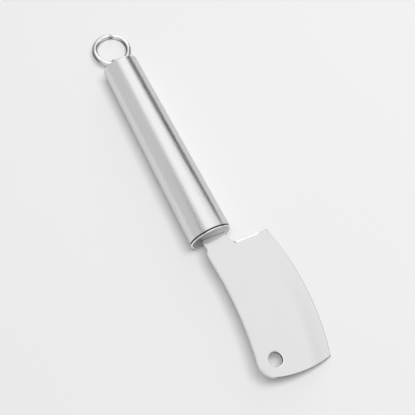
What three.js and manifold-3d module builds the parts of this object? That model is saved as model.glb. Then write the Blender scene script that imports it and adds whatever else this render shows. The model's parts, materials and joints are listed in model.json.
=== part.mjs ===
// Small cheese cleaver lying on a table: a flat blade with a hanging hole, gripped by its tang inside a
// hollow conical handle, and a loose hanging ring in an eye at the handle's rear end.
// Millimetres, +Z up, table at z = 0. Inside the knife group, X runs along the handle's axis towards the
// blade's tip, Y towards the cutting edge and Z out of the blade's upper face. The handle tube's front end
// is at x = 0.

import * as THREE from 'three';
import { mergeVertices } from 'three/addons/utils/BufferGeometryUtils.js';
import Module from 'manifold-3d';

// Gap between neighbouring pieces, where the real ones touch
const CLEARANCE = 0.25;

// Handle tube, a cone that widens towards the blade
const HANDLE_LENGTH = 103.6;
const FRONT_DIAMETER = 22;
const REAR_DIAMETER = 18.4;
const TUBE_WALL = 1;

// Front cap: a rim as wide as the tube, and a spigot inside it
const CAP_RIM_THICKNESS = 0.6;
const CAP_RIM_CHAMFER = 0.2;
const CAP_SPIGOT_DEPTH = 4;

// Black ring in the groove between tube and cap
const SEAL_WIDTH = 0.3;
const SEAL_RECESS = 0.4;

// Blade. Lengths along X are measured from the cap's face, and offsets along Y from the handle's axis.
const BLADE_THICKNESS = 1.8;
const EDGE_THICKNESS = 0.3;
const GRIND_WIDTH = 7;
const EDGE_RADIUS = 130;
const HEEL_DEPTH = 30.2;
const TIP_DEPTH = 27.6;
const EDGE_TIP_LENGTH = 78.6;
const TIP_RADIUS = 65;
const HOLE_DIAMETER = 7.6;
const HOLE_LENGTH = 69.2;
const HOLE_OFFSET = -0.4;
const TIP_CORNER_RADIUS = 9.4;
const SPINE_RADIUS = 196;
const SPINE_START_LENGTH = 7.6;
const SPINE_START_OFFSET = -6.3;

// Neck, between the cap's face and the heel
const NECK_LENGTH = 6.3;
const NECK_SPINE_OFFSET = -5.1;
const NECK_EDGE_OFFSET = 7;
const NECK_FLARE = 2.2;
const NECK_SHOULDER_LENGTH = 4.9;
const HEEL_FILLET = 2;

// Tang, cross pin and the two core halves that grip the tang
const TANG_WIDTH = 9;
const TANG_LENGTH = 40;
const TANG_PIN_DIAMETER = 3;
const TANG_PIN_FROM_END = 10;
const TANG_PIN_INSET = 1;
const CORE_END_WALL = 4;

// Rear plug with its eye, a lug low on the plug's face with a hole that the ring's wire passes through
const PLUG_DEPTH = 5;
const EYE_STANDOFF = 3.7;
const EYE_INSET = 1.1;
const EYE_PLAY = 0.6;
const EYE_WALL = 0.6;
const EYE_THICKNESS = 1.4;

// Hanging ring. It lies loose in its eye, leaning towards the table and slewed to one side.
const RING_OUTER_DIAMETER = 20.25;
const RING_WIRE_DIAMETER = 2.5;
const RING_LEAN = THREE.MathUtils.degToRad(12.5);
const RING_SLEW = THREE.MathUtils.degToRad(-15.7);

// Facets, and how finely the angles at the table are solved
const TUBE_FACETS = 72;
const EDGE_FACETS = 240;
const CURVE_FACETS = 20;
const PIN_FACETS = 24;
const WIRE_FACETS = 12;
const RING_FACETS = 60;
const ANGLE_TOLERANCE = 1e-9;

// Sizes that follow from the driving ones
const frontRadius = FRONT_DIAMETER / 2;
const rearRadius = REAR_DIAMETER / 2;
const taper = (frontRadius - rearRadius) / HANDLE_LENGTH;
const taperAngle = Math.atan(taper);
const rimBack = SEAL_WIDTH + 2 * CLEARANCE;
const capFace = rimBack + CAP_RIM_THICKNESS;
const spigotBack = -CAP_SPIGOT_DEPTH;
const spigotRadius = boreRadius(spigotBack) - CLEARANCE;
const tangEnd = spigotBack - TANG_LENGTH;
const pinX = tangEnd + TANG_PIN_FROM_END;
const coreFront = spigotBack - CLEARANCE;
const coreBack = tangEnd - CLEARANCE - CORE_END_WALL;
const wireRadius = RING_WIRE_DIAMETER / 2;
const ringRadius = RING_OUTER_DIAMETER / 2 - wireRadius;
const plugRadius = boreRadius(-HANDLE_LENGTH) - CLEARANCE;
const eyeHoleRadius = wireRadius + EYE_PLAY;
const eyeRadius = eyeHoleRadius + EYE_WALL;
const hinge = new THREE.Vector3(-HANDLE_LENGTH - EYE_STANDOFF, 0, EYE_INSET + eyeRadius - plugRadius);

// Radius of the tube's bore at a place along the handle
function boreRadius(x) {
  return frontRadius - TUBE_WALL + taper * x;
}

const wasm = await Module();
wasm.setup();

// Closed solid from a three.js geometry
function solid(geometry) {
  const bare = geometry.index ? geometry.toNonIndexed() : geometry.clone();
  bare.deleteAttribute('normal');
  bare.deleteAttribute('uv');
  const merged = mergeVertices(bare);
  const corners = [];
  for (let i = 0; i < merged.index.count; i += 3) {
    const triangle = [merged.index.getX(i), merged.index.getX(i + 1), merged.index.getX(i + 2)];
    if (new Set(triangle).size === 3) corners.push(...triangle);
  }
  return new wasm.Manifold(new wasm.Mesh({
    numProp: 3,
    vertProperties: new Float32Array(merged.attributes.position.array),
    triVerts: new Uint32Array(corners),
  }));
}

// Flat-shaded three.js geometry from a solid
function geometryOf(body) {
  const mesh = body.getMesh();
  const indexed = new THREE.BufferGeometry();
  indexed.setAttribute('position', new THREE.BufferAttribute(mesh.vertProperties, 3));
  indexed.setIndex(new THREE.BufferAttribute(mesh.triVerts, 1));
  const geometry = indexed.toNonIndexed();
  geometry.computeVertexNormals();
  return geometry;
}

// Body turned about the handle's axis, from a profile of [x, radius] points that runs from +X to -X
function turned(profile) {
  const points = profile.map(([x, radius]) => new THREE.Vector2(radius, -x));
  const geometry = new THREE.LatheGeometry(points, TUBE_FACETS);
  geometry.rotateZ(Math.PI / 2);
  return geometry;
}

function block(low, high) {
  const geometry = new THREE.BoxGeometry(high[0] - low[0], high[1] - low[1], high[2] - low[2]);
  geometry.translate((low[0] + high[0]) / 2, (low[1] + high[1]) / 2, (low[2] + high[2]) / 2);
  return solid(geometry);
}

// Round bar across the handle, along Z
function crossBar(radius, length) {
  const geometry = new THREE.CylinderGeometry(radius, radius, length, PIN_FACETS);
  geometry.rotateX(Math.PI / 2);
  geometry.translate(pinX, 0, 0);
  return geometry;
}

// Where two circles cross, on the left or the right of the line from the first centre to the second
function circlesCross(first, firstRadius, second, secondRadius, onLeft) {
  const between = second.clone().sub(first);
  const distance = between.length();
  const along = (distance ** 2 + firstRadius ** 2 - secondRadius ** 2) / (2 * distance);
  const beside = Math.sqrt(firstRadius ** 2 - along ** 2) * (onLeft ? 1 : -1);
  const unit = between.divideScalar(distance);
  return new THREE.Vector2(
    first.x + along * unit.x - beside * unit.y,
    first.y + along * unit.y + beside * unit.x,
  );
}

function angleFrom(centre, point) {
  return Math.atan2(point.y - centre.y, point.x - centre.x);
}

// Corners and arc centres of the blade's outline
const heelX = capFace + NECK_LENGTH;
const heelCorner = new THREE.Vector2(heelX, HEEL_DEPTH);
const edgeTip = new THREE.Vector2(capFace + EDGE_TIP_LENGTH, TIP_DEPTH);
const spineStart = new THREE.Vector2(capFace + SPINE_START_LENGTH, SPINE_START_OFFSET);
const holeCentre = new THREE.Vector2(capFace + HOLE_LENGTH, HOLE_OFFSET);
const edgeCentre = circlesCross(heelCorner, EDGE_RADIUS, edgeTip, EDGE_RADIUS, false);
const tipCentre = circlesCross(edgeTip, TIP_RADIUS, holeCentre, TIP_RADIUS - TIP_CORNER_RADIUS, false);
const spineCentre = circlesCross(
  spineStart, SPINE_RADIUS, holeCentre, SPINE_RADIUS + TIP_CORNER_RADIUS, false,
);

// Outline of blade, neck and tang. Past the cutting edge it runs wide, by the grind's width, and the
// ground disc trims it.
function bladeOutline() {
  const wideRadius = EDGE_RADIUS + GRIND_WIDTH;
  const wideTip = circlesCross(edgeCentre, wideRadius, tipCentre, TIP_RADIUS, false);
  const wideHeelAngle = Math.acos((heelX - edgeCentre.x) / wideRadius);
  const spineToCorner = angleFrom(spineCentre, holeCentre);
  const cornerToTip = angleFrom(tipCentre, holeCentre);
  const neckCorner = new THREE.Vector2(heelX, NECK_EDGE_OFFSET + NECK_FLARE);
  const neckSide = new THREE.Vector2(NECK_LENGTH, NECK_FLARE).setLength(HEEL_FILLET);
  const outline = new THREE.Shape();
  outline.moveTo(tangEnd, -TANG_WIDTH / 2);
  outline.lineTo(spigotBack, -TANG_WIDTH / 2);
  outline.lineTo(spigotBack, NECK_SPINE_OFFSET);
  outline.lineTo(capFace + NECK_SHOULDER_LENGTH, NECK_SPINE_OFFSET);
  outline.lineTo(spineStart.x, spineStart.y);
  outline.absarc(
    spineCentre.x, spineCentre.y, SPINE_RADIUS, angleFrom(spineCentre, spineStart), spineToCorner, true,
  );
  outline.absarc(
    holeCentre.x, holeCentre.y, TIP_CORNER_RADIUS, spineToCorner - Math.PI, cornerToTip, false,
  );
  outline.absarc(
    tipCentre.x, tipCentre.y, TIP_RADIUS, cornerToTip, angleFrom(tipCentre, wideTip), false,
  );
  outline.absarc(
    edgeCentre.x, edgeCentre.y, wideRadius, angleFrom(edgeCentre, wideTip), wideHeelAngle, false,
  );
  outline.lineTo(neckCorner.x, neckCorner.y + HEEL_FILLET);
  outline.quadraticCurveTo(
    neckCorner.x, neckCorner.y, neckCorner.x - neckSide.x, neckCorner.y - neckSide.y,
  );
  outline.lineTo(capFace, NECK_EDGE_OFFSET);
  outline.lineTo(spigotBack, NECK_EDGE_OFFSET);
  outline.lineTo(spigotBack, TANG_WIDTH / 2);
  outline.lineTo(tangEnd, TANG_WIDTH / 2);
  outline.closePath();
  outline.holes.push(roundHole(holeCentre.x, holeCentre.y, HOLE_DIAMETER / 2));
  outline.holes.push(roundHole(pinX, 0, TANG_PIN_DIAMETER / 2 + CLEARANCE));
  return outline;
}

function roundHole(x, y, radius) {
  return new THREE.Path().absarc(x, y, radius, 0, 2 * Math.PI, true);
}

// Disc about the edge's centre that thins over the grind to the cutting edge
function groundDisc() {
  const half = BLADE_THICKNESS / 2;
  const edgeHalf = EDGE_THICKNESS / 2;
  const profile = [
    new THREE.Vector2(0, -half),
    new THREE.Vector2(EDGE_RADIUS - GRIND_WIDTH, -half),
    new THREE.Vector2(EDGE_RADIUS, -edgeHalf),
    new THREE.Vector2(EDGE_RADIUS, edgeHalf),
    new THREE.Vector2(EDGE_RADIUS - GRIND_WIDTH, half),
    new THREE.Vector2(0, half),
  ];
  const geometry = new THREE.LatheGeometry(profile, EDGE_FACETS);
  geometry.rotateX(Math.PI / 2);
  geometry.translate(edgeCentre.x, edgeCentre.y, 0);
  return solid(geometry);
}

function bladeGeometry() {
  const plate = new THREE.ExtrudeGeometry(bladeOutline(), {
    depth: BLADE_THICKNESS, bevelEnabled: false, curveSegments: CURVE_FACETS,
  });
  plate.translate(0, 0, -BLADE_THICKNESS / 2);
  return geometryOf(solid(plate).intersect(groundDisc()));
}

function tubeGeometry() {
  const front = frontRadius;
  const back = rearRadius;
  return turned([
    [0, front - TUBE_WALL], [0, front], [-HANDLE_LENGTH, back], [-HANDLE_LENGTH, back - TUBE_WALL],
    [0, front - TUBE_WALL],
  ]);
}

function capGeometry() {
  const rim = frontRadius;
  const body = solid(turned([
    [capFace, 0], [capFace, rim - CAP_RIM_CHAMFER], [capFace - CAP_RIM_CHAMFER, rim], [rimBack, rim],
    [rimBack, spigotRadius], [spigotBack, spigotRadius], [spigotBack, 0],
  ]));
  const slotHalf = BLADE_THICKNESS / 2 + CLEARANCE;
  const slot = block(
    [spigotBack - CLEARANCE, NECK_SPINE_OFFSET - CLEARANCE, -slotHalf],
    [capFace + CLEARANCE, NECK_EDGE_OFFSET + CLEARANCE, slotHalf],
  );
  return geometryOf(body.subtract(slot));
}

function sealGeometry() {
  const inner = spigotRadius + CLEARANCE;
  const outer = frontRadius - SEAL_RECESS;
  const front = rimBack - CLEARANCE;
  return turned([[front, inner], [front, outer], [CLEARANCE, outer], [CLEARANCE, inner], [front, inner]]);
}

// One half of the core: the side of the tang that the sign names, with the tang's groove and the pin's hole
function coreGeometry(side) {
  const body = solid(turned([
    [coreFront, 0], [coreFront, boreRadius(coreFront) - CLEARANCE],
    [coreBack, boreRadius(coreBack) - CLEARANCE], [coreBack, 0],
  ]));
  const grooveHalf = BLADE_THICKNESS / 2 + CLEARANCE;
  const grooveWide = TANG_WIDTH / 2 + CLEARANCE;
  const groove = block([tangEnd - CLEARANCE, -grooveWide, -grooveHalf], [0, grooveWide, grooveHalf]);
  const hole = solid(crossBar(TANG_PIN_DIAMETER / 2 + CLEARANCE, FRONT_DIAMETER));
  const seam = CLEARANCE / 2;
  const otherHalf = block(
    [coreBack - CLEARANCE, -frontRadius, side > 0 ? -frontRadius : -seam],
    [0, frontRadius, side > 0 ? seam : frontRadius],
  );
  return geometryOf(body.subtract(groove).subtract(hole).subtract(otherHalf));
}

function pinGeometry() {
  return crossBar(TANG_PIN_DIAMETER / 2, 2 * (boreRadius(pinX) - CLEARANCE - TANG_PIN_INSET));
}

// Lug with a round end, drawn as distance behind the plug against height above the hinge
function eyeGeometry() {
  const root = -PLUG_DEPTH / 2;
  const outline = new THREE.Shape();
  outline.moveTo(root, -eyeRadius);
  outline.lineTo(EYE_STANDOFF, -eyeRadius);
  outline.absarc(EYE_STANDOFF, 0, eyeRadius, -Math.PI / 2, Math.PI / 2, false);
  outline.lineTo(root, eyeRadius);
  outline.closePath();
  outline.holes.push(roundHole(EYE_STANDOFF, 0, eyeHoleRadius));
  const geometry = new THREE.ExtrudeGeometry(outline, {
    depth: EYE_THICKNESS, bevelEnabled: false, curveSegments: CURVE_FACETS,
  });
  geometry.translate(0, 0, -EYE_THICKNESS / 2);
  const behind = new THREE.Vector3(-1, 0, 0);
  const upwards = new THREE.Vector3(0, 0, 1);
  const across = new THREE.Vector3(0, 1, 0);
  geometry.applyMatrix4(new THREE.Matrix4().makeBasis(behind, upwards, across));
  geometry.translate(-HANDLE_LENGTH, 0, hinge.z);
  return geometry;
}

function plugGeometry() {
  const front = PLUG_DEPTH - HANDLE_LENGTH;
  const body = solid(turned([
    [front, 0], [front, plugRadius], [-HANDLE_LENGTH, plugRadius], [-HANDLE_LENGTH, 0],
  ]));
  return geometryOf(body.add(solid(eyeGeometry())));
}

function ringGeometry() {
  const geometry = new THREE.TorusGeometry(ringRadius, wireRadius, WIRE_FACETS, RING_FACETS);
  geometry.translate(-ringRadius, 0, 0);
  return geometry;
}

// Lying on the table. The cone's lowest line lies on it, so the axis rises by the taper angle, and the
// knife rolls until its cutting edge touches the table too.
const axisHeight = frontRadius * Math.cos(taperAngle);

function lyingTurn(roll) {
  const pitchTurn = new THREE.Quaternion().setFromEuler(new THREE.Euler(0, -taperAngle, 0));
  const rollTurn = new THREE.Quaternion().setFromEuler(new THREE.Euler(-roll, 0, 0));
  return pitchTurn.multiply(rollTurn);
}

// Height of the cutting edge's lowest point
function edgeHeight(roll) {
  const turn = lyingTurn(roll);
  const from = angleFrom(edgeCentre, heelCorner);
  const to = angleFrom(edgeCentre, edgeTip);
  const heights = [];
  for (let i = 0; i <= EDGE_FACETS; i += 1) {
    const angle = THREE.MathUtils.lerp(from, to, i / EDGE_FACETS);
    const x = edgeCentre.x + EDGE_RADIUS * Math.cos(angle);
    const y = edgeCentre.y + EDGE_RADIUS * Math.sin(angle);
    heights.push(new THREE.Vector3(x, y, -EDGE_THICKNESS / 2).applyQuaternion(turn).z);
  }
  return axisHeight + Math.min(...heights);
}

// Turn of the ring about its hinge when it droops by an angle from the handle's axis
function ringEuler(droop) {
  return new THREE.Euler(RING_LEAN, -droop, RING_SLEW, 'XZY');
}

// Height of the ring's lowest point at that droop
function ringHeight(droop, roll) {
  const knifeTurn = lyingTurn(roll);
  const ringTurn = knifeTurn.clone().multiply(new THREE.Quaternion().setFromEuler(ringEuler(droop)));
  const ringX = new THREE.Vector3(1, 0, 0).applyQuaternion(ringTurn);
  const ringY = new THREE.Vector3(0, 1, 0).applyQuaternion(ringTurn);
  const centreHeight = axisHeight + hinge.clone().applyQuaternion(knifeTurn).z - ringRadius * ringX.z;
  return centreHeight - ringRadius * Math.hypot(ringX.z, ringY.z) - wireRadius;
}

// Angle from 0 to a right angle at which a falling height reaches the table
function angleAtTable(height) {
  let low = 0;
  let high = Math.PI / 2;
  while (high - low > ANGLE_TOLERANCE) {
    const middle = (low + high) / 2;
    if (height(middle) > 0) low = middle;
    else high = middle;
  }
  return low;
}

const roll = angleAtTable(edgeHeight);
const ringDroop = angleAtTable((droop) => ringHeight(droop, roll));

function steel(color, roughness) {
  return new THREE.MeshStandardMaterial({ color, roughness, metalness: 1 });
}

function plastic(color, roughness) {
  return new THREE.MeshStandardMaterial({ color, roughness, metalness: 0 });
}

function piece(name, geometry, material) {
  const mesh = new THREE.Mesh(geometry, material);
  mesh.name = name;
  return mesh;
}

const knife = new THREE.Group();
knife.quaternion.copy(lyingTurn(roll));
knife.position.z = axisHeight;
knife.add(
  piece('blade', bladeGeometry(), steel(0xdcdcdc, 0.12)),
  piece('handle_tube', tubeGeometry(), steel(0xc4c4c4, 0.35)),
  piece('front_cap', capGeometry(), steel(0xb4b4b4, 0.3)),
  piece('seal_ring', sealGeometry(), plastic(0x111111, 0.6)),
  piece('tang_core_upper', coreGeometry(1), plastic(0x3a3a3a, 0.7)),
  piece('tang_core_lower', coreGeometry(-1), plastic(0x3a3a3a, 0.7)),
  piece('tang_pin', pinGeometry(), steel(0xb8b8b8, 0.4)),
  piece('rear_plug', plugGeometry(), steel(0xbdbdbd, 0.3)),
);

const ringPivot = new THREE.Group();
ringPivot.position.copy(hinge);
ringPivot.rotation.copy(ringEuler(ringDroop));
ringPivot.add(piece('hanging_ring', ringGeometry(), steel(0xd6d6d6, 0.08)));
knife.add(ringPivot);

// Origin under the middle of the whole knife, at the table
const cleaver = new THREE.Group();
cleaver.add(knife);
const extent = new THREE.Box3().setFromObject(cleaver, true);
const middle = extent.getCenter(new THREE.Vector3());
knife.position.sub(new THREE.Vector3(middle.x, middle.y, extent.min.z));

export default cleaver;
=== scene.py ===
# Looks of a small cheese cleaver lying on a table: a polished blade with a hanging hole, a satin conical
# handle, a steel cap with a black seal behind it, and a bright ring in its eye. Metres, in the frame of the
# solids. Inside the knife's own frame X runs along the handle to the blade's tip, Y to the cutting edge and Z
# out of the blade's upper face. The handle tube's front end is at x = 0.

import json
import math

import bmesh
import bpy
from mathutils import Matrix, Vector
from mathutils.geometry import tessellate_polygon


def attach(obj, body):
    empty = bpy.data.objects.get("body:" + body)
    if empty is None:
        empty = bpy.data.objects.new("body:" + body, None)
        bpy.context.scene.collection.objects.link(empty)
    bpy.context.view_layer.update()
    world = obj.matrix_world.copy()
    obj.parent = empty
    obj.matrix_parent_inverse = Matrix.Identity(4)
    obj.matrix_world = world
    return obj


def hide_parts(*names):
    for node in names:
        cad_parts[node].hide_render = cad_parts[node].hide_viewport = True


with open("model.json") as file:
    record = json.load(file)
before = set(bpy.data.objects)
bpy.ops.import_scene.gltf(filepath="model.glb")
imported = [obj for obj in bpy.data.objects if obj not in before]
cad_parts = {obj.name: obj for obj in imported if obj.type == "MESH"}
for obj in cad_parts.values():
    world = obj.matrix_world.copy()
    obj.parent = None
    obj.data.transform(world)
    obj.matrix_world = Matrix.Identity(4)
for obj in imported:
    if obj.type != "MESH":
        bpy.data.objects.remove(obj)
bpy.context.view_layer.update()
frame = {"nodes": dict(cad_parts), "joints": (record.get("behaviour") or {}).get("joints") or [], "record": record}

MM = 0.001

# Handle tube
HANDLE_LENGTH = 103.6 * MM
FRONT_RADIUS = 11 * MM
REAR_RADIUS = 9.2 * MM
TUBE_WALL = 1 * MM
TUBE_EASE = 0.12 * MM
TUBE_REAR_EASE = 0.7 * MM

# Front cap, with a polished rim, a fine groove and a satin face, and the black seal behind it
GROOVE_WIDTH = 0.8 * MM
RIM_THICKNESS = 0.6 * MM
RIM_EASE = 0.22 * MM
RIM_BACK_EASE = 0.02 * MM
RIM_BAND = 0.75 * MM
FACE_GROOVE_WIDTH = 0.35 * MM
FACE_GROOVE_DEPTH = 0.3 * MM
FACE_GROOVE_EASE = 0.1 * MM
SPIGOT_DEPTH = 4 * MM
SPIGOT_GAP = 0.25 * MM
SLOT_GAP = 0.25 * MM
SLOT_EASE = 0.12 * MM
SEAL_RECESS = 0.35 * MM
SEAL_EASE = 0.2 * MM
SEAL_FIT = 0.02 * MM

# Blade. Lengths along X are measured from the cap's face, and offsets along Y from the handle's axis.
BLADE_HALF = 0.9 * MM
GRIND_WIDTH = 7 * MM
GRIND_BLEND = 0.8 * MM
GRIND_END_HALF = 0.22 * MM
BEVEL_WIDTH = 0.5 * MM
EDGE_HALF = 0.06 * MM
EDGE_RADIUS = 130 * MM
HEEL_DEPTH = 30.2 * MM
TIP_DEPTH = 27.6 * MM
EDGE_TIP_LENGTH = 78.6 * MM
TIP_RADIUS = 65 * MM
HOLE_RADIUS = 3.8 * MM
HOLE_LENGTH = 69.2 * MM
HOLE_OFFSET = -0.4 * MM
TIP_CORNER_RADIUS = 9.4 * MM
SPINE_RADIUS = 196 * MM
SPINE_START_LENGTH = 7.6 * MM
SPINE_START_OFFSET = -6.3 * MM
SPINE_START_ROUND = 6 * MM
NECK_LENGTH = 6.3 * MM
NECK_SPINE_OFFSET = -5.1 * MM
NECK_EDGE_OFFSET = 7 * MM
NECK_FLARE = 2.2 * MM
NECK_SHOULDER_LENGTH = 4.9 * MM
NECK_SHOULDER_ROUND = 2 * MM
HEEL_ROUND = 2.85 * MM
TANG_HALF_WIDTH = 4.5 * MM
TANG_LENGTH = 40 * MM
TANG_PIN_HOLE_RADIUS = 1.75 * MM
TANG_PIN_FROM_END = 10 * MM

# Rounding of the blade's faces at their borders. It is broad round the hole and at the heel, where it starts
# within a short blend beside the neck. In the ground band it fades with a power of the thickness, down to the
# cutting edge's own, and its depth takes at most a share of the half thickness.
PLATE_EASE = 0.25 * MM
EDGE_EASE = 0.05 * MM
HEEL_EASE_WIDTH = 2.2 * MM
HEEL_EASE_DEPTH = 0.65 * MM
HEEL_BLEND = 0.45 * MM
HEEL_REACH = 1 * MM
HOLE_EASE_WIDTH = 1 * MM
HOLE_EASE_DEPTH = 0.3 * MM
EASE_FADE = 3
EASE_SHARE = 0.75

# Rear plug with its eye, a lug low on the plug's face with a hole that the ring's wire passes through
PLUG_DEPTH = 5 * MM
PLUG_GAP = 0.1 * MM
PLUG_EASE = 0.3 * MM
EYE_STANDOFF = 3.7 * MM
EYE_HEIGHT = -4.4 * MM
EYE_RADIUS = 2.45 * MM
EYE_HOLE_RADIUS = 1.85 * MM
EYE_HALF_THICKNESS = 0.7 * MM
EYE_EASE = 0.2 * MM

# Hanging ring
RING_RADIUS = 8.875 * MM
WIRE_RADIUS = 1.25 * MM

# Finishes. Tones and roughness run between the two values given as a pattern goes from low to high. A pattern
# has sizes along X, Y and Z, and a depth of relief. Grinding marks are measured along the cutting edge and
# across it instead. An edge tint is what is left of a grazing reflection.
NOISE_LOW = 0.3
NOISE_HIGH = 0.7
HANDLE_TONES = (0.75, 0.79)
HANDLE_ROUGHNESS = (0.2, 0.3)
HANDLE_GRAIN = Vector((22, 0.25, 0.25)) * MM
HANDLE_GRAIN_DEPTH = 0.004 * MM
HANDLE_STREAKS = Vector((90, 1.6, 1.6)) * MM
HANDLE_ANISOTROPY = 0.6
HANDLE_EDGE_TINT = (0.7, 0.7, 0.7, 1)
BLADE_TONES = (0.79, 0.81)
BLADE_ROUGHNESS = (0.13, 0.2)
BLADE_GRAIN = Vector((14, 0.3, 5)) * MM
BLADE_GRAIN_DEPTH = 0.0006 * MM
BLADE_CLOUDS = Vector((30, 18, 30)) * MM
GRIND_MARKS = Vector((0.25, 9, 1)) * MM
TURNED_LINE = 0.12 * MM
TURNED_LINE_DEPTH = 0.003 * MM
CAP_RIM_TONE = 0.8
CAP_RIM_ROUGHNESS = 0.08
CAP_SATIN = (0.22, 0.36)
PLUG_TONES = (0.72, 0.76)
PLUG_ROUGHNESS = (0.2, 0.32)
PIN_TONES = (0.69, 0.75)
PIN_ROUGHNESS = (0.25, 0.4)
PIN_LINES = Vector((0.15, 0.15, 6)) * MM
RUBBER_TONES = (0.012, 0.035)
RUBBER_ROUGHNESS = (0.55, 0.8)
RUBBER_GRAIN = Vector((0.12, 0.12, 0.12)) * MM
RUBBER_GRAIN_DEPTH = 0.02 * MM
PLASTIC_TONES = (0.18, 0.22)
PLASTIC_ROUGHNESS = (0.45, 0.65)
PLASTIC_GRAIN = Vector((0.2, 0.2, 0.2)) * MM
PLASTIC_GRAIN_DEPTH = 0.015 * MM
PLASTIC_FLOW = Vector((12, 4, 4)) * MM
RING_TONES = (0.84, 0.88)
RING_ROUGHNESS = (0.04, 0.11)
RING_SCRATCHES = Vector((0.5, 0.5, 0.12)) * MM
RING_SCRATCH_DEPTH = 0.0008 * MM
RING_EDGE_TINT = (0.3, 0.3, 0.3, 1)

# Painted shade on parts of the blade, with the share of the tone that is left: on the tip's end and on the hole's
# wall
TIP_END_SHADE_SHARE = 0.18
TIP_END_SHADE_BAND = 0.7 * MM
HOLE_WALL_SHADE_SHARE = 0.12
HOLE_WALL_SHADE_BAND = 0.1 * MM

# Painted shades that grow along the blade, with the share of the tone that they take: on the cutting edge's
# bevel, and in a soft line along the ground band, which keeps a part of its strength at the edge
BEVEL_SHADE = 0.5
BEVEL_SHADE_START = 8 * MM
BEVEL_SHADE_FULL = 35 * MM
GRIND_SHADE = 0.09
GRIND_SHADE_START = 20 * MM
GRIND_SHADE_FULL = 76 * MM
GRIND_SHADE_FROM_EDGE = 6.8 * MM
GRIND_SHADE_WIDTH = 6 * MM
GRIND_SHADE_AT_EDGE = 0.5

# Painted reflection across the cap's face, darker towards the spine, and painted shade round its slot
CAP_SHADED_TONE = 0.25
CAP_SHADED_OFFSET = -10 * MM
CAP_LIT_TONE = 0.64
CAP_LIT_OFFSET = 7 * MM
SLOT_SHADE_SHARE = 0.4
SLOT_SHADE_WIDTH = 0.5 * MM

# Painted shade on the ring's wire, strong on one side of it and weak on the other, and a darker tone round the
# butt seam. How far a side reaches is measured from the middle of the wire.
RING_SHADED_SIDE = Vector((-0.21, -0.975, -0.07))
STRONG_SHARE = 0.08
STRONG_START = 0.25 * WIRE_RADIUS
STRONG_FULL = 0.75 * WIRE_RADIUS
WEAK_SHARE = 0.5
WEAK_START = -0.5 * WIRE_RADIUS
WEAK_FULL = -0.95 * WIRE_RADIUS
RING_SEAM = Vector((-8.4, 0.93, -0.24)) * MM
SEAM_SHARE = 0.15
SEAM_CORE = 0.4 * MM
SEAM_REACH = 2.4 * MM

# Fineness of the meshes
TURN_STEPS = 144
ARC_STEPS = 48
EDGE_STEPS = 120
GRIND_STEPS = 8
BLEND_STEPS = 6
EASE_STEPS = 5
WIRE_STEPS = 40
SHARP_ANGLE = math.radians(34)

# Sizes that follow
RIM_BACK = GROOVE_WIDTH
CAP_FACE = RIM_BACK + RIM_THICKNESS
SPIGOT_BACK = -SPIGOT_DEPTH
TAPER = (FRONT_RADIUS - REAR_RADIUS) / HANDLE_LENGTH
SPIGOT_RADIUS = FRONT_RADIUS - TUBE_WALL + TAPER * SPIGOT_BACK - SPIGOT_GAP
TANG_END = SPIGOT_BACK - TANG_LENGTH
HEEL_X = CAP_FACE + NECK_LENGTH


# Mesh building

class Skin:
    """Points and faces of one piece, in the knife's frame or in the ring's."""

    def __init__(self):
        self.points = []
        self.faces = []

    def row(self, points):
        first = len(self.points)
        self.points.extend(Vector(point) for point in points)
        return list(range(first, len(self.points)))

    def strip(self, first, second, closed=True):
        """Four-sided faces between two rows of as many points."""
        for i in range(len(first) if closed else len(first) - 1):
            j = (i + 1) % len(first)
            self.faces.append((first[i], first[j], second[j], second[i]))

    def cover(self, rows, closed=False):
        """Strips from each closed row to the next and, if closed, from the last to the first."""
        for i in range(len(rows) if closed else len(rows) - 1):
            self.strip(rows[i], rows[(i + 1) % len(rows)])

    def fill(self, loops):
        """Flat face inside the first closed row, with the other rows as holes in it."""
        corners = [corner for loop in loops for corner in loop]
        for face in tessellate_polygon([[self.points[corner] for corner in loop] for loop in loops]):
            self.faces.append([corners[i] for i in face])


def make_piece(name, skin, place, material, body, slot, *nodes):
    """Shown piece from a skin. It rides on a body and stands for the nodes."""
    mesh = bpy.data.meshes.new(name)
    mesh.from_pydata(skin.points, [], skin.faces)
    mesh.transform(place)
    work = bmesh.new()
    work.from_mesh(mesh)
    bmesh.ops.recalc_face_normals(work, faces=work.faces)
    work.to_mesh(mesh)
    work.free()
    mesh.shade_smooth()
    mesh.set_sharp_from_angle(angle=SHARP_ANGLE)
    mesh.materials.append(material)
    piece = bpy.data.objects.new(name, mesh)
    bpy.context.scene.collection.objects.link(piece)
    normals = piece.modifiers.new("even_normals", "WEIGHTED_NORMAL")
    normals.keep_sharp = True
    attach(piece, body)
    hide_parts(*nodes)


# Outlines

def arc(centre, radius, start, end, steps):
    """Points on a circle, from one angle to another, both ends included."""
    angles = [start + (end - start) * i / steps for i in range(steps + 1)]
    return [centre + radius * Vector((math.cos(angle), math.sin(angle))) for angle in angles]


def angle_from(centre, point):
    return math.atan2(point.y - centre.y, point.x - centre.x)


def rounded(corners, closed, steps=EASE_STEPS):
    """Outline through (x, y, radius) corners, each rounded by its radius."""
    points = []
    for i, (x, y, radius) in enumerate(corners):
        corner = Vector((x, y))
        if not radius or not closed and i in (0, len(corners) - 1):
            points.append(corner)
            continue
        before = (Vector(corners[i - 1][:2]) - corner).normalized()
        after = (Vector(corners[(i + 1) % len(corners)][:2]) - corner).normalized()
        half = before.angle(after) / 2
        centre = corner + (before + after).normalized() * radius / math.sin(half)
        reach = radius / math.tan(half)
        start = angle_from(centre, corner + before * reach)
        turn = angle_from(centre, corner + after * reach) - start
        turn = (turn + math.pi) % (2 * math.pi) - math.pi
        points.extend(arc(centre, radius, start, start + turn, steps))
    return points


def circles_cross(first, first_radius, second, second_radius):
    """Where two circles cross, on the right of the line from the first centre to the second."""
    between = second - first
    along = (between.length_squared + first_radius ** 2 - second_radius ** 2) / (2 * between.length)
    beside = math.sqrt(first_radius ** 2 - along ** 2)
    unit = between.normalized()
    return first + along * unit + beside * Vector((unit.y, -unit.x))


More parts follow.
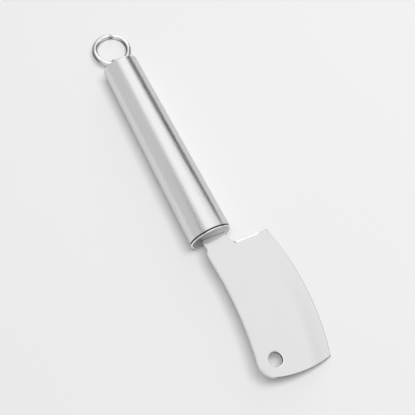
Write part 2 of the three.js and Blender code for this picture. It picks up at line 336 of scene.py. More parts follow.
def inward(points):
    """Step from each corner of a closed outline that moves both its sides in by one unit."""
    steps = []
    for i, here in enumerate(points):
        back = (here - points[i - 1]).normalized()
        on = (points[(i + 1) % len(points)] - here).normalized()
        steps.append(Vector((-back.y - on.y, back.x + on.x)) / (1 + back.dot(on)))
    return steps


# Bodies turned about the handle's axis

def rings(skin, profile):
    """Rows of points about the X axis, one for each (x, radius) point of a profile."""
    rows = []
    for x, radius in profile:
        angles = [2 * math.pi * i / TURN_STEPS for i in range(TURN_STEPS)]
        rows.append(skin.row((x, radius * math.cos(a), radius * math.sin(a)) for a in angles))
    return rows


def tube_skin():
    skin = Skin()
    profile = rounded([
        (0, FRONT_RADIUS - TUBE_WALL, TUBE_EASE),
        (0, FRONT_RADIUS, TUBE_EASE),
        (-HANDLE_LENGTH, REAR_RADIUS, TUBE_REAR_EASE),
        (-HANDLE_LENGTH, REAR_RADIUS - TUBE_WALL, TUBE_EASE),
    ], closed=True)
    skin.cover(rings(skin, profile), closed=True)
    return skin


def seal_skin():
    skin = Skin()
    inner, outer = SPIGOT_RADIUS + SEAL_FIT, FRONT_RADIUS - SEAL_RECESS
    front, back = RIM_BACK - SEAL_FIT, SEAL_FIT
    profile = rounded([
        (front, inner, 0),
        (front, outer, SEAL_EASE),
        (back, outer, SEAL_EASE),
        (back, inner, 0),
    ], closed=True)
    skin.cover(rings(skin, profile), closed=True)
    return skin


def slot_outline():
    """Slot in the cap that the neck passes through, in Y and Z."""
    half = BLADE_HALF + SLOT_GAP
    low, high = NECK_SPINE_OFFSET - SLOT_GAP, NECK_EDGE_OFFSET + SLOT_GAP
    return rounded([
        (low, -half, SLOT_EASE),
        (low, half, SLOT_EASE),
        (high, half, SLOT_EASE),
        (high, -half, SLOT_EASE),
    ], closed=True)


def cap_skin():
    """Rim, fine groove and face, with the slot through them."""
    skin = Skin()
    groove_outer = FRONT_RADIUS - RIM_BAND
    groove_inner = groove_outer - FACE_GROOVE_WIDTH
    groove_floor = CAP_FACE - FACE_GROOVE_DEPTH
    profile = rounded([
        (CAP_FACE, groove_inner - RIM_BAND, 0),
        (CAP_FACE, groove_inner, FACE_GROOVE_EASE),
        (groove_floor, groove_inner, 0),
        (groove_floor, groove_outer, 0),
        (CAP_FACE, groove_outer, FACE_GROOVE_EASE),
        (CAP_FACE, FRONT_RADIUS, RIM_EASE),
        (RIM_BACK, FRONT_RADIUS, RIM_BACK_EASE),
        (RIM_BACK, SPIGOT_RADIUS, 0),
        (SPIGOT_BACK, SPIGOT_RADIUS, 0),
    ], closed=False)
    rows = rings(skin, profile)
    skin.cover(rows)
    slot = slot_outline()
    outwards = inward(slot)
    walls = []
    for i in range(EASE_STEPS + 1):
        angle = math.pi / 2 * i / EASE_STEPS
        x = CAP_FACE - SLOT_EASE * (1 - math.cos(angle))
        step = SLOT_EASE * (1 - math.sin(angle))
        walls.append(skin.row((x, *(point + step * out)) for point, out in zip(slot, outwards)))
    walls.append(skin.row((SPIGOT_BACK, *point) for point in slot))
    skin.cover(walls)
    skin.fill([rows[0], walls[0]])
    skin.fill([rows[-1], walls[-1]])
    return skin


# Plates

def eased_edge(skin, outline, halves, widths, depths, place):
    """Rounded edge round a plate's closed outline. Returns the rows of its upper and its lower face."""
    steps = inward(outline)
    rows = []
    for side in (1, -1):
        for i in range(EASE_STEPS + 1):
            angle = math.pi / 2 * (i if side > 0 else EASE_STEPS - i) / EASE_STEPS
            row = []
            for point, step, half, width, depth in zip(outline, steps, halves, widths, depths):
                height = half - depth * (1 - math.cos(angle))
                row.append(place(point + step * width * (1 - math.sin(angle)), side * height))
            rows.append(skin.row(row))
    skin.cover(rows)
    return rows[0], rows[-1]


def same(value, outline):
    return [value] * len(outline)


# Blade. Its corners and arc centres follow from the sizes.
heel_corner = Vector((HEEL_X, HEEL_DEPTH))
edge_tip = Vector((CAP_FACE + EDGE_TIP_LENGTH, TIP_DEPTH))
spine_start = Vector((CAP_FACE + SPINE_START_LENGTH, SPINE_START_OFFSET))
hole_centre = Vector((CAP_FACE + HOLE_LENGTH, HOLE_OFFSET))
pin_centre = Vector((TANG_END + TANG_PIN_FROM_END, 0))
edge_centre = circles_cross(heel_corner, EDGE_RADIUS, edge_tip, EDGE_RADIUS)
tip_centre = circles_cross(edge_tip, TIP_RADIUS, hole_centre, TIP_RADIUS - TIP_CORNER_RADIUS)
spine_centre = circles_cross(spine_start, SPINE_RADIUS, hole_centre, SPINE_RADIUS + TIP_CORNER_RADIUS)


def inside_edge(point):
    """Distance from the cutting edge."""
    return EDGE_RADIUS - (point - edge_centre).length


def blade_half(point):
    """Half of the blade's thickness at a point: edge bevel, grind, and a soft change to the flat."""
    inside = inside_edge(point)
    slope = (BLADE_HALF - GRIND_END_HALF) / (GRIND_WIDTH - BEVEL_WIDTH)
    if inside <= BEVEL_WIDTH:
        return EDGE_HALF + (GRIND_END_HALF - EDGE_HALF) * max(inside, 0) / BEVEL_WIDTH
    if inside >= GRIND_WIDTH + GRIND_BLEND:
        return BLADE_HALF
    past = max(inside - (GRIND_WIDTH - GRIND_BLEND), 0)
    return GRIND_END_HALF + slope * (inside - BEVEL_WIDTH) - slope * past ** 2 / (4 * GRIND_BLEND)


def grind_levels():
    """Distances from the cutting edge of the lines that the ground face is built on."""
    start, end = GRIND_WIDTH - GRIND_BLEND, GRIND_WIDTH + GRIND_BLEND
    levels = [BEVEL_WIDTH / 2, BEVEL_WIDTH]
    levels += [BEVEL_WIDTH + (start - BEVEL_WIDTH) * i / GRIND_STEPS for i in range(1, GRIND_STEPS + 1)]
    levels += [start + (end - start) * i / BLEND_STEPS for i in range(1, BLEND_STEPS + 1)]
    return levels


def blade_outline():
    """Closed outline, and the places in it of the cutting edge's two ends."""
    levels = grind_levels()
    tip_ends = [circles_cross(edge_centre, EDGE_RADIUS - level, tip_centre, TIP_RADIUS) for level in levels]
    heel_ends = []
    for level in levels:
        rise = math.sqrt((EDGE_RADIUS - level) ** 2 - (HEEL_X - edge_centre.x) ** 2)
        heel_ends.append(Vector((HEEL_X, edge_centre.y + rise)))
    spine_to_corner = angle_from(spine_centre, hole_centre)
    corner_to_tip = angle_from(tip_centre, hole_centre)
    spine = arc(spine_centre, SPINE_RADIUS, angle_from(spine_centre, spine_start), spine_to_corner, ARC_STEPS)
    corner = arc(hole_centre, TIP_CORNER_RADIUS, spine_to_corner - math.pi, corner_to_tip, ARC_STEPS)
    tip = arc(tip_centre, TIP_RADIUS, corner_to_tip, angle_from(tip_centre, tip_ends[-1]), ARC_STEPS)
    edge_ends = angle_from(edge_centre, edge_tip), angle_from(edge_centre, heel_corner)
    edge = arc(edge_centre, EDGE_RADIUS, *edge_ends, EDGE_STEPS)
    spine_join = ARC_STEPS // 4
    neck = rounded([
        (*heel_ends[-1], 0),
        (HEEL_X, NECK_EDGE_OFFSET + NECK_FLARE, HEEL_ROUND),
        (CAP_FACE, NECK_EDGE_OFFSET, NECK_SHOULDER_ROUND),
        (SPIGOT_BACK, NECK_EDGE_OFFSET, 0),
        (SPIGOT_BACK, TANG_HALF_WIDTH, 0),
        (TANG_END, TANG_HALF_WIDTH, 0),
        (TANG_END, -TANG_HALF_WIDTH, 0),
        (SPIGOT_BACK, -TANG_HALF_WIDTH, 0),
        (SPIGOT_BACK, NECK_SPINE_OFFSET, 0),
        (CAP_FACE + NECK_SHOULDER_LENGTH, NECK_SPINE_OFFSET, NECK_SHOULDER_ROUND),
        (*spine_start, SPINE_START_ROUND),
        (*spine[spine_join], 0),
    ], closed=False, steps=2 * EASE_STEPS)
    before_edge = spine[spine_join + 1:] + corner[1:] + tip[1:-1] + tip_ends[::-1]
    outline = before_edge + edge + heel_ends + neck[1:]
    first = len(before_edge)
    return outline, first, first + EDGE_STEPS


def smooth(share):
    share = min(max(share, 0), 1)
    return share * share * (3 - 2 * share)


def heel_share(point):
    """How far a point of the outline belongs to the broadly rounded heel, from 0 to 1."""
    past_neck = 1 - (HEEL_X - point.x) / HEEL_BLEND
    on_heel = point.x < HEEL_X + HEEL_REACH and point.y > NECK_EDGE_OFFSET
    return smooth(past_neck) * smooth(inside_edge(point) / GRIND_WIDTH) if on_heel else 0


def plate_sizes(point, step):
    """Half thickness beside a point of the outline, and the width and depth of the rounding there."""
    share = heel_share(point)
    width = PLATE_EASE + (HEEL_EASE_WIDTH - PLATE_EASE) * share
    depth = PLATE_EASE + (HEEL_EASE_DEPTH - PLATE_EASE) * share
    fade = (blade_half(point + step * width) / BLADE_HALF) ** EASE_FADE
    width = max(width * fade, EDGE_EASE)
    half = blade_half(point + step * width)
    return half, width, min(max(depth * fade, EDGE_EASE), half * EASE_SHARE)


def blade_place(point, height):
    return (point.x, point.y, height)


def ground_face(skin, face, first, last, side):
    """Bevel and grind between the cutting edge and the flat. Returns the row at the flat."""
    row = face[first:last + 1]
    for level in range(1, len(grind_levels()) + 1):
        start, end = face[first - level], face[last + level]
        starts, ends = skin.points[start].xy, skin.points[end].xy
        radii = (starts - edge_centre).length, (ends - edge_centre).length
        angles = angle_from(edge_centre, starts), angle_from(edge_centre, ends)
        between = []
        for i in range(1, EDGE_STEPS):
            share = i / EDGE_STEPS
            radius = radii[0] + (radii[1] - radii[0]) * share
            angle = angles[0] + (angles[1] - angles[0]) * share
            point = edge_centre + radius * Vector((math.cos(angle), math.sin(angle)))
            between.append(blade_place(point, side * blade_half(point)))
        following = [start, *skin.row(between), end]
        skin.strip(row, following, closed=False)
        row = following
    return row


def blade_skin():
    skin = Skin()
    outline, first, last = blade_outline()
    sizes = [plate_sizes(point, step) for point, step in zip(outline, inward(outline))]
    upper, lower = eased_edge(skin, outline, *zip(*sizes), blade_place)
    holes = []
    for centre, radius, width, depth in (
        (hole_centre, HOLE_RADIUS, HOLE_EASE_WIDTH, HOLE_EASE_DEPTH),
        (pin_centre, TANG_PIN_HOLE_RADIUS, PLATE_EASE, PLATE_EASE),
    ):
        circle = arc(centre, radius, 2 * math.pi, 0, 2 * ARC_STEPS)[:-1]
        hole_sizes = [same(size, circle) for size in (BLADE_HALF, width, depth)]
        holes.append(eased_edge(skin, circle, *hole_sizes, blade_place))
    ground_rows = len(grind_levels())
    for side, face in ((1, upper), (-1, lower)):
        top = ground_face(skin, face, first, last, side)
        rest = face[last + ground_rows + 1:] + face[:first - ground_rows]
        skin.fill([rest + top, *(hole[0 if side > 0 else 1] for hole in holes)])
    return skin


# Rear plug with its eye

def plug_skin():
    skin = Skin()
    radius = REAR_RADIUS - TUBE_WALL - PLUG_GAP
    rows = rings(skin, rounded([
        (PLUG_DEPTH - HANDLE_LENGTH, radius - PLUG_EASE, 0),
        (PLUG_DEPTH - HANDLE_LENGTH, radius, 0),
        (-HANDLE_LENGTH, radius, PLUG_EASE),
        (-HANDLE_LENGTH, radius / 2, 0),
    ], closed=False))
    skin.cover(rows)
    skin.fill([rows[0]])
    skin.fill([rows[-1]])
    return skin


def eye_place(point, height):
    return (-HANDLE_LENGTH - point.x, height, EYE_HEIGHT + point.y)


def eye_skin():
    skin = Skin()
    centre = Vector((EYE_STANDOFF, 0))
    outline = [Vector((-PLUG_EASE, -EYE_RADIUS))]
    outline += arc(centre, EYE_RADIUS, -math.pi / 2, math.pi / 2, ARC_STEPS)
    outline.append(Vector((-PLUG_EASE, EYE_RADIUS)))
    hole = arc(centre, EYE_HOLE_RADIUS, 2 * math.pi, 0, ARC_STEPS)[:-1]
    faces = []
    for loop in (outline, hole):
        eases = same(EYE_EASE, loop)
        faces.append(eased_edge(skin, loop, same(EYE_HALF_THICKNESS, loop), eases, eases, eye_place))
    for side in (0, 1):
        skin.fill([face[side] for face in faces])
    return skin


# Hanging ring, in a frame of its own with Z along its axis

def ring_skin():
    skin = Skin()
    rows = []
    for i in range(TURN_STEPS):
        turn = 2 * math.pi * i / TURN_STEPS
        out = Vector((math.cos(turn), math.sin(turn), 0))
        section = []
        for j in range(WIRE_STEPS):
            angle = 2 * math.pi * j / WIRE_STEPS
            height = Vector((0, 0, WIRE_RADIUS * math.sin(angle)))
            section.append(out * (RING_RADIUS + WIRE_RADIUS * math.cos(angle)) + height)
        rows.append(skin.row(section))
    skin.cover(rows, closed=True)
    return skin


# Places of the knife and of its ring, taken from the frame

def middle_of(points):
    return sum(points, Vector()) / len(points)


def axes_matrix(x, y, z, origin):
    return Matrix.Translation(origin) @ Matrix((x, y, z)).transposed().to_4x4()


def knife_place():
    """Handle's axis from the tube's two ends, and the blade's upper side from its mount."""
    points = [vertex.co for vertex in frame["nodes"]["handle_tube"].data.vertices]
    half_way = middle_of(points).x
    front = middle_of([point for point in points if point.x > half_way])
    rear = middle_of([point for point in points if point.x < half_way])
    mounts = {mount["name"]: mount for mount in frame["record"]["mounts"]}
    along = (front - rear).normalized()
    across = Vector(mounts["blade_upper_face"]["axis"]).cross(along).normalized()
    return axes_matrix(along, across, along.cross(across), front)


def ring_place():
    """The wire's centre line passes through the hinge, along its axis there."""
    joint = frame["joints"][0]
    centre = middle_of([vertex.co for vertex in frame["nodes"]["hanging_ring"].data.vertices])
    towards = (Vector(joint["pos_m"]) - centre).normalized()
    normal = towards.cross(Vector(joint["axis"])).normalized()
    return axes_matrix(towards, normal.cross(towards), normal, centre)


# Node building

def add_node(tree, kind, *inputs, **settings):
    """New node with its inputs linked or set, in order."""
    node = tree.nodes.new(kind)
    for name, value in settings.items():
        setattr(node, name, value)
    for socket, value in zip(node.inputs, inputs):
        if isinstance(value, bpy.types.NodeSocket):
            tree.links.new(value, socket)
        elif value is not None:
            socket.default_value = value
    return node


def add_maths(tree, operation, *inputs):
    return add_node(tree, "ShaderNodeMath", *inputs, operation=operation).outputs["Value"]


def grey(tone):
    return (tone, tone, tone, 1)


# Materials. Each finish has its grain in the frame of the piece that it is on.

class Finish:
    """Node material whose texture coordinates are in the knife's frame or the ring's, in metres."""

    def __init__(self, name, place, **constants):
        self.material = bpy.data.materials.new(name)
        self.material.use_nodes = True
        self.tree = self.material.node_tree
        self.shader = self.tree.nodes["Principled BSDF"]
        for socket, value in constants.items():
            self.shader.inputs[socket.replace("_", " ")].default_value = value
        coordinates = self.node("ShaderNodeTexCoord")
        mapping = self.node("ShaderNodeMapping", coordinates.outputs["Object"], vector_type="TEXTURE")
        mapping.inputs["Location"].default_value = place.to_translation()
        mapping.inputs["Rotation"].default_value = place.to_euler()
        self.place = mapping.outputs["Vector"]

    def node(self, kind, *inputs, **settings):
        return add_node(self.tree, kind, *inputs, **settings)

    def maths(self, operation, *inputs):
        return add_maths(self.tree, operation, *inputs)

    def vector(self, operation, *inputs):
        """Vector that comes from vectors."""
        return self.node("ShaderNodeVectorMath", *inputs, operation=operation).outputs["Vector"]

    def measure(self, operation, *inputs):
        """Number that comes from vectors."""
        return self.node("ShaderNodeVectorMath", *inputs, operation=operation).outputs["Value"]

    def part(self, vector, axis):
        return self.node("ShaderNodeSeparateXYZ", vector).outputs[axis]

    def scaled(self, vector, *factors):
        """Vector or colour times all the factors."""
        for factor in factors:
            vector = self.vector("SCALE", vector, None, None, factor)
        return vector

    def noise(self, place, sizes, detail=2):
        """Noise from 0 to 1 whose patches have about the given sizes along the three axes."""
        counted = self.vector("DIVIDE", place, sizes)
        return self.node("ShaderNodeTexNoise", counted, None, 1.0, detail).outputs["Fac"]

    def between(self, share, low, high, share_low=NOISE_LOW, share_high=NOISE_HIGH):
        """Value that goes smoothly from low to high as the share does."""
        ranged = self.node(
            "ShaderNodeMapRange", share, share_low, share_high, low, high, interpolation_type="SMOOTHSTEP")
        return ranged.outputs["Result"]

    def tint(self, share, first, second):
        """Grey between two tones."""
        ramp = self.node("ShaderNodeValToRGB", share)
        for element, tone in zip(ramp.color_ramp.elements, (first, second)):
            element.color = grey(tone)
        return ramp.outputs["Color"]

    def feed(self, socket, value):
        self.tree.links.new(value, self.shader.inputs[socket])

    def bump(self, height, depth):
        """Relief of the given depth in metres."""
        self.feed("Normal", self.node("ShaderNodeBump", 1.0, depth, None, height).outputs["Normal"])


def radius_of(finish):
    """Distance from the handle's axis."""
    return finish.measure("LENGTH", finish.vector("MULTIPLY", finish.place, (0, 1, 1)))


def turned_lines(finish):
    """Fine lines round the handle's axis, as a lathe tool leaves."""
    along = finish.part(finish.place, "X")
    profile = finish.node("ShaderNodeCombineXYZ", radius_of(finish), along).outputs["Vector"]
    return finish.noise(profile, (TURNED_LINE, TURNED_LINE, TURNED_LINE))


def handle_finish(place):
    """Satin steel, brushed along the handle, with faint broad streaks."""
    finish = Finish(
        "handle_steel", place, Metallic=1, Anisotropic=HANDLE_ANISOTROPY, Specular_Tint=HANDLE_EDGE_TINT)
    grain = finish.noise(finish.place, HANDLE_GRAIN, detail=3)
    streaks = finish.noise(finish.place, HANDLE_STREAKS)
    tangent = finish.node("ShaderNodeTangent", direction_type="RADIAL", axis="X")
    finish.feed("Base Color", finish.tint(streaks, *HANDLE_TONES))
    finish.feed("Roughness", finish.between(grain, *HANDLE_ROUGHNESS))
    finish.feed("Tangent", tangent.outputs["Tangent"])
    finish.bump(grain, HANDLE_GRAIN_DEPTH)
    return finish.material


def from_point(finish, centre):
    """Vector from an axis through a point of the blade, square to its faces, and its length."""
    moved = finish.vector("SUBTRACT", finish.place, (*centre, 0))
    outwards = finish.vector("MULTIPLY", moved, (1, 1, 0))
    return outwards, finish.measure("LENGTH", outwards)


def shade_along(finish, shade_mask, strength, start, full):
    """Share of the tone that a painted shade leaves, where it grows along the blade."""
    growth = finish.between(finish.part(finish.place, "X"), 0, -strength, start, full)
    return finish.maths("MULTIPLY_ADD", shade_mask, growth, 1)


def bevel_shade(finish, distance):
    """Painted shade on the bevel, which fades out at the heel."""
    bevel = finish.between(distance, 0, 1, EDGE_RADIUS - BEVEL_WIDTH, EDGE_RADIUS)
    return shade_along(finish, bevel, BEVEL_SHADE, BEVEL_SHADE_START, BEVEL_SHADE_FULL)


def grind_shade(finish, distance):
    """Soft painted shade along the ground band, which grows towards the tip."""
    darkest = EDGE_RADIUS - GRIND_SHADE_FROM_EDGE
    rise = finish.between(distance, 0, 1, darkest - GRIND_SHADE_WIDTH, darkest)
    fall = finish.between(distance, 1, GRIND_SHADE_AT_EDGE, darkest, EDGE_RADIUS)
    line = finish.maths("MULTIPLY", rise, fall)
    return shade_along(finish, line, GRIND_SHADE, GRIND_SHADE_START, GRIND_SHADE_FULL)


def blade_finish(place):
    """Polished flat with a faint lengthwise grain, and grinding marks across the ground band."""
    finish = Finish("blade_steel", place, Metallic=1)
    outwards, distance = from_point(finish, edge_centre)
    inner, outer = EDGE_RADIUS - GRIND_WIDTH - GRIND_BLEND, EDGE_RADIUS - GRIND_WIDTH + GRIND_BLEND
    ground = finish.between(distance, 0, 1, inner, outer)
    turn = finish.maths("ARCTAN2", finish.part(outwards, "Y"), finish.part(outwards, "X"))
    along_edge = finish.maths("MULTIPLY", turn, EDGE_RADIUS)
    polar = finish.node("ShaderNodeCombineXYZ", along_edge, distance).outputs["Vector"]
    marks = finish.noise(polar, GRIND_MARKS, detail=3)
    grain = finish.noise(finish.place, BLADE_GRAIN, detail=3)
    clouds = finish.noise(finish.place, BLADE_CLOUDS)
    relief = finish.node("ShaderNodeMix", ground, None, grain, marks).outputs["Result"]
    from_tip = from_point(finish, tip_centre)[1]
    from_hole = from_point(finish, hole_centre)[1]
    # Base colour with painted shade on the bevel, the tip's end, the hole's wall and along the ground band
    polished = finish.scaled(
        finish.tint(clouds, *BLADE_TONES),
        bevel_shade(finish, distance),
        finish.between(from_tip, 1, TIP_END_SHADE_SHARE, TIP_RADIUS - TIP_END_SHADE_BAND, TIP_RADIUS),
        finish.between(from_hole, HOLE_WALL_SHADE_SHARE, 1, HOLE_RADIUS, HOLE_RADIUS + HOLE_WALL_SHADE_BAND),
        grind_shade(finish, distance),
    )
    finish.feed("Base Color", polished)
    finish.feed("Roughness", finish.between(relief, *BLADE_ROUGHNESS))
    finish.bump(relief, BLADE_GRAIN_DEPTH)
    return finish.material


def slot_shade(finish):
    """Painted shade in a line round the slot that the neck passes through."""
    middle = (NECK_SPINE_OFFSET + NECK_EDGE_OFFSET) / 2
    reach = (NECK_EDGE_OFFSET - NECK_SPINE_OFFSET) / 2
    sides = finish.vector("ABSOLUTE", finish.vector("SUBTRACT", finish.place, (0, middle, 0)))
    past_side = finish.maths("SUBTRACT", finish.part(sides, "Y"), reach)
    past_face = finish.maths("SUBTRACT", finish.part(sides, "Z"), BLADE_HALF)
    outside = finish.maths("MAXIMUM", past_side, past_face)
    return finish.between(outside, SLOT_SHADE_SHARE, 1, SLOT_GAP, SLOT_GAP + SLOT_SHADE_WIDTH)


def cap_finish(place):
    """Satin turned face inside a polished rim, with a painted reflection darker towards the spine and painted
    shade round the slot.
    """
    finish = Finish("cap_steel", place, Metallic=1)
    lines = turned_lines(finish)
    edge = FRONT_RADIUS - RIM_BAND
    face = finish.between(radius_of(finish), 1, 0, edge - FACE_GROOVE_WIDTH, edge)
    satin = finish.between(lines, *CAP_SATIN)
    across = finish.part(finish.place, "Y")
    # Painted reflection on the face: its tone runs from dark on the spine side to lighter on the edge side
    tone = finish.between(across, CAP_SHADED_TONE, CAP_LIT_TONE, CAP_SHADED_OFFSET, CAP_LIT_OFFSET)
    steel = finish.maths("MULTIPLY_ADD", face, finish.maths("SUBTRACT", tone, CAP_RIM_TONE), CAP_RIM_TONE)
    # Painted shade round the slot darkens the tone there
    finish.feed("Base Color", finish.maths("MULTIPLY", steel, slot_shade(finish)))
    finish.feed("Roughness", finish.maths("MULTIPLY_ADD", satin, face, CAP_RIM_ROUGHNESS))
    finish.bump(finish.maths("MULTIPLY", lines, face), TURNED_LINE_DEPTH)
    return finish.material


def plug_finish(place):
    """Satin turned steel."""
    finish = Finish("plug_steel", place, Metallic=1)
    lines = turned_lines(finish)
    finish.feed("Base Color", finish.tint(lines, *PLUG_TONES))
    finish.feed("Roughness", finish.between(lines, *PLUG_ROUGHNESS))
    finish.bump(lines, TURNED_LINE_DEPTH)
    return finish.material


def pin_finish(place):
    """Drawn steel rod, with lines along it."""
    finish = Finish("pin_steel", place, Metallic=1)
    lines = finish.noise(finish.place, PIN_LINES)
    finish.feed("Base Color", finish.tint(lines, *PIN_TONES))
    finish.feed("Roughness", finish.between(lines, *PIN_ROUGHNESS))
    finish.bump(lines, TURNED_LINE_DEPTH)
    return finish.material


def rubber_finish(place):
    """Matt black rubber with a fine moulded grain and a little dust in it."""
    finish = Finish("seal_rubber", place)
    grain = finish.noise(finish.place, RUBBER_GRAIN, detail=4)
    finish.feed("Base Color", finish.tint(grain, *RUBBER_TONES))
    finish.feed("Roughness", finish.between(grain, *RUBBER_ROUGHNESS))
    finish.bump(grain, RUBBER_GRAIN_DEPTH)
    return finish.material


def plastic_finish(place):
    """Moulded grey plastic with a spark-eroded texture and faint flow lines."""
    finish = Finish("core_plastic", place)
    grain = finish.noise(finish.place, PLASTIC_GRAIN, detail=4)
    flow = finish.noise(finish.place, PLASTIC_FLOW)
    finish.feed("Base Color", finish.tint(flow, *PLASTIC_TONES))
    finish.feed("Roughness", finish.between(grain, *PLASTIC_ROUGHNESS))
    finish.bump(grain, PLASTIC_GRAIN_DEPTH)
    return finish.material


def ring_finish(place):
    """Bright polished wire with fine rubbed scratches, painted shade on its sides and a darker tone round its
    seam.
    """
    finish = Finish("ring_steel", place, Metallic=1, Specular_Tint=RING_EDGE_TINT)
    scratches = finish.noise(finish.place, RING_SCRATCHES, detail=4)
    flat = finish.vector("MULTIPLY", finish.place, (1, 1, 0))
    wire_middle = finish.scaled(finish.vector("NORMALIZE", flat), RING_RADIUS)
    section = finish.vector("SUBTRACT", finish.place, wire_middle)
    # Painted shade, strong on one side of the wire and weak on the other, and a darker tone round the seam
    side = finish.measure("DOT_PRODUCT", section, RING_SHADED_SIDE)
    from_seam = finish.measure("DISTANCE", finish.place, RING_SEAM)
    polished = finish.scaled(
        finish.tint(scratches, *RING_TONES),
        finish.between(side, 1, STRONG_SHARE, STRONG_START, STRONG_FULL),
        finish.between(side, WEAK_SHARE, 1, WEAK_FULL, WEAK_START),
        finish.between(from_seam, SEAM_SHARE, 1, SEAM_CORE, SEAM_REACH),
    )
    finish.feed("Base Color", polished)
    finish.feed("Roughness", finish.between(scratches, *RING_ROUGHNESS))
    finish.bump(scratches, RING_SCRATCH_DEPTH)
    return finish.material


# Pieces
knife = knife_place()
ring = ring_place()
plug_steel = plug_finish(knife)
make_piece("blade_plate", blade_skin(), knife, blade_finish(knife), "knife", "blade_steel", "blade")
make_piece("handle_shell", tube_skin(), knife, handle_finish(knife), "knife", "handle_steel", "handle_tube")
make_piece("cap_body", cap_skin(), knife, cap_finish(knife), "knife", "cap_steel", "front_cap")
make_piece("seal_band", seal_skin(), knife, rubber_finish(knife), "knife", "seal_rubber", "seal_ring")
make_piece("plug_disc", plug_skin(), knife, plug_steel, "knife", "plug_steel", "rear_plug")
make_piece("plug_eye", eye_skin(), knife, plug_steel, "knife", "plug_steel", "rear_plug")
make_piece("ring_wire", ring_skin(), ring, ring_finish(ring), "ring", "ring_steel", "hanging_ring")

# The sealed inner pieces keep their shape and get their finish.
core_plastic = plastic_finish(knife)
for node, material in (
    ("tang_core_upper", core_plastic),
    ("tang_core_lower", core_plastic),
    ("tang_pin", pin_finish(knife)),
):
    frame["nodes"][node].data.materials.clear()
    frame["nodes"][node].data.materials.append(material)

# Camera, placed and aimed from the handle tube's front end
CAMERA_PLACE = knife.to_translation() + Vector((156.3, -80.7, 632)) * MM
CAMERA_AIM = knife.to_translation() + Vector((-16.26, 6.98, -11)) * MM
CAMERA_LENS = 113.9
CAMERA_SENSOR = 36
camera = bpy.data.objects.new("camera", bpy.data.cameras.new("camera"))
bpy.context.scene.collection.objects.link(camera)
camera.data.lens = CAMERA_LENS
camera.data.sensor_width = CAMERA_SENSOR
camera.location = CAMERA_PLACE
camera.rotation_mode = "QUATERNION"
camera.rotation_quaternion = (CAMERA_AIM - CAMERA_PLACE).to_track_quat("-Z", "Y")
bpy.context.scene.camera = camera

# Floor, with a faint glow that is seen but lights nothing
FLOOR_REACH = 1.1
FLOOR_TONE = 0.74
FLOOR_GLOW = 0.15

# Room, as it is seen and as it lights. A ray lights once it has met more matt surfaces than the limit here.
ROOM_LEVEL = 0.68
ROOM_LIGHT = 0.07
MATT_LIMIT = 0.5

# Two dark cards outside the picture, which show only in reflections: a flag standing on the floor beside the
# handle, higher away from it, and a narrow bar past the end of the top panel, a little below its height
CARD_TONE = 0.03
FLAG_GLOW = 0.07
FLAG_CORNERS = [
    (-0.4, 0.439, 0),
    (-0.018, 0.144, 0),
    (-0.018, 0.144, 0.052),
    (-0.22, 0.3, 0.19),
    (-0.4, 0.439, 0.32),
]
BAR_HEIGHT = 0.89
BAR_CORNERS = [
    (-0.37, -0.29, BAR_HEIGHT),
    (-0.24, -0.55, BAR_HEIGHT),
    (-0.24, -1.2, BAR_HEIGHT),
    (-0.34, -0.5, BAR_HEIGHT),
]

# Lamps: places and sizes in metres, turns in degrees. The overhead one throws most of the shadow, and isn't
# seen in reflections.
OVERHEAD_PLACE = (0.12, 0.2, 2)
OVERHEAD_SIZE = (0.7, 1.3)
OVERHEAD_LEVEL = 11
TOP_PLACE = (-0.316, 0.288, 0.9)
TOP_SIZE = (1.2, 0.89)
TOP_LEVEL = 0.47
TOP_TURN = (0, 0, -21.5)
SIDE_PLACE = (-0.25, 0.8, 0.475)
SIDE_SIZE = (1.5, 0.85)
SIDE_LEVEL = 0.29
SIDE_TURN = (-90, 0, 0)
KEY_PLACE = (-0.8, 0.56, 0.37)
KEY_SIZE = (0.5, 0.6)
KEY_LEVEL = 1
KEY_TURN = (69.3, 0, 235)


def seen_share(tree):
    """1 for rays that look at the surroundings, straight or in metal or glass, and 0 for rays that light."""
    path = add_node(tree, "ShaderNodeLightPath").outputs
    share = path["Is Camera Ray"]
    for kind in ("Is Glossy Ray", "Is Transmission Ray"):
        share = add_maths(tree, "MAXIMUM", share, path[kind])
    direct = add_maths(tree, "LESS_THAN", path["Diffuse Depth"], MATT_LIMIT)
    return add_maths(tree, "MULTIPLY", share, direct)


def seen_level(tree, seen, lighting, socket):
    """Feeds a socket with one level for rays that look and another for rays that light."""
    level = add_maths(tree, "MULTIPLY_ADD", seen_share(tree), seen - lighting, lighting)
    tree.links.new(level, socket)


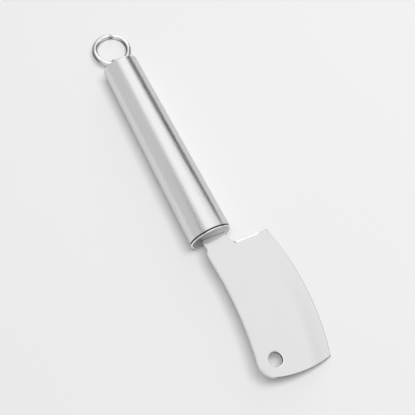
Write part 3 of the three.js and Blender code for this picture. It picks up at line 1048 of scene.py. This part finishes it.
def stage_plane(name, corners, tone, glow=0):
    """Flat plain surface beside the object. Its glow is seen but lights nothing."""
    mesh = bpy.data.meshes.new(name)
    mesh.from_pydata(corners, [], [range(len(corners))])
    material = bpy.data.materials.new(name)
    material.use_nodes = True
    shader = material.node_tree.nodes["Principled BSDF"]
    shader.inputs["Base Color"].default_value = grey(tone)
    shader.inputs["Roughness"].default_value = 1
    shader.inputs["Specular IOR Level"].default_value = 0
    if glow:
        shader.inputs["Emission Color"].default_value = grey(1)
        seen_level(material.node_tree, glow, 0, shader.inputs["Emission Strength"])
    mesh.materials.append(material)
    plane = bpy.data.objects.new(name, mesh)
    bpy.context.scene.collection.objects.link(plane)
    return plane


def add_lamp(name, place, size, radiance, turn=(0, 0, 0)):
    """Soft panel that adds its radiance to the light of the room behind it. It faces down before its turn."""
    light = bpy.data.lights.new(name, "AREA")
    light.shape = "RECTANGLE"
    light.size, light.size_y = size
    light.energy = radiance * math.pi * size[0] * size[1]
    lamp = bpy.data.objects.new(name, light)
    lamp.location = place
    lamp.rotation_euler = [math.radians(angle) for angle in turn]
    bpy.context.scene.collection.objects.link(lamp)
    return lamp


stage_plane("floor", [
    (-FLOOR_REACH, -FLOOR_REACH, 0),
    (FLOOR_REACH, -FLOOR_REACH, 0),
    (FLOOR_REACH, FLOOR_REACH, 0),
    (-FLOOR_REACH, FLOOR_REACH, 0),
], FLOOR_TONE, FLOOR_GLOW)
flag = stage_plane("flag", FLAG_CORNERS, CARD_TONE, FLAG_GLOW)
frame_bar = stage_plane("frame_bar", BAR_CORNERS, CARD_TONE)
for card in (flag, frame_bar):
    card.visible_camera = False
    card.visible_diffuse = False
    card.visible_shadow = False
overhead = add_lamp("overhead", OVERHEAD_PLACE, OVERHEAD_SIZE, OVERHEAD_LEVEL)
overhead.visible_glossy = False
add_lamp("top_panel", TOP_PLACE, TOP_SIZE, TOP_LEVEL, TOP_TURN)
add_lamp("side_panel", SIDE_PLACE, SIDE_SIZE, SIDE_LEVEL, SIDE_TURN)
add_lamp("key", KEY_PLACE, KEY_SIZE, KEY_LEVEL, KEY_TURN)

world = bpy.data.worlds.new("room")
bpy.context.scene.world = world
world.use_nodes = True
background = world.node_tree.nodes["Background"]
background.inputs["Color"].default_value = grey(1)
seen_level(world.node_tree, ROOM_LEVEL, ROOM_LIGHT, background.inputs["Strength"])

bpy.context.scene.view_settings.view_transform = "Standard"
